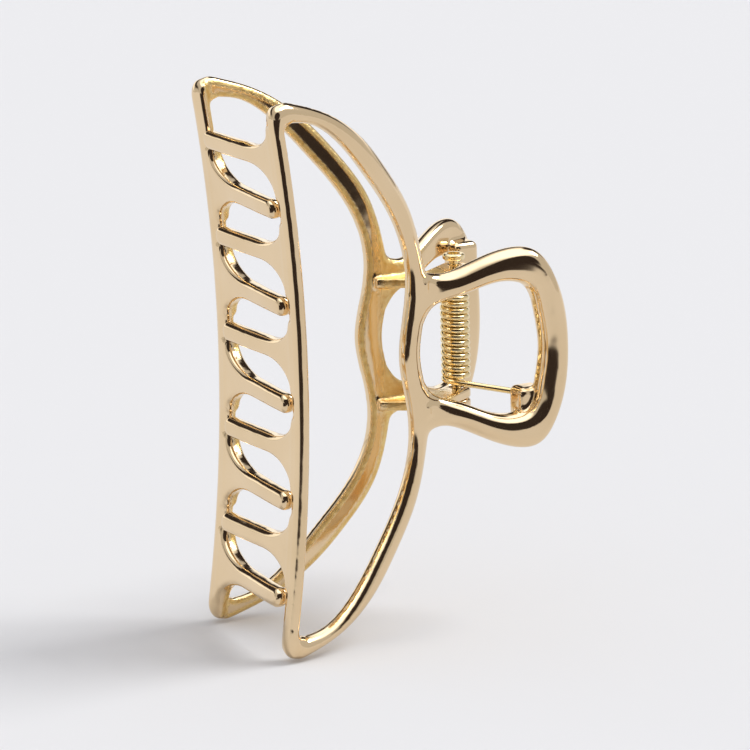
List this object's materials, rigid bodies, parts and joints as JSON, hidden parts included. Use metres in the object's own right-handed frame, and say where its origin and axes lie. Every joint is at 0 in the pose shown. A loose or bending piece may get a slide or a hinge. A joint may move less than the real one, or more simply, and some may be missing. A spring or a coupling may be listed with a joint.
{
  "type": "claw clip",
  "caption": "Open-frame metal claw hair clip: bowed jaws with interleaving teeth and thumb loops on a sprung hinge pin.",
  "frame": {"origin": "bottom centre of the clip's bounding box, where its jaws' ends stand on a surface", "axes": "+Z along the hinge pin and the clip's length, +X from the teeth to the thumb loops, +Y from the front jaw to the rear jaw"},
  "size_m": [0.0518, 0.0336, 0.09],
  "materials": {
    "gold_plate": "polished plating on cast zinc",
    "gold_wire": "plated spring steel wire"
  },
  "bodies": {
    "front_jaw": {"front_jaw": "gold_plate", "hinge_pin": "gold_wire", "torsion_spring": "gold_wire"},
    "rear_jaw": {"rear_jaw": "gold_plate"}
  },
  "joints": [
    {"name": "hinge", "type": "hinge", "parent": "front_jaw", "child": "rear_jaw", "pos_m": [0.01355, 0, 0.045], "axis": [0, 0, -1], "range_deg": [0, 80], "stiffness_Nm_per_rad": 0.12, "springref_deg": -34.38, "deforming": ["torsion_spring"]}
  ]
}
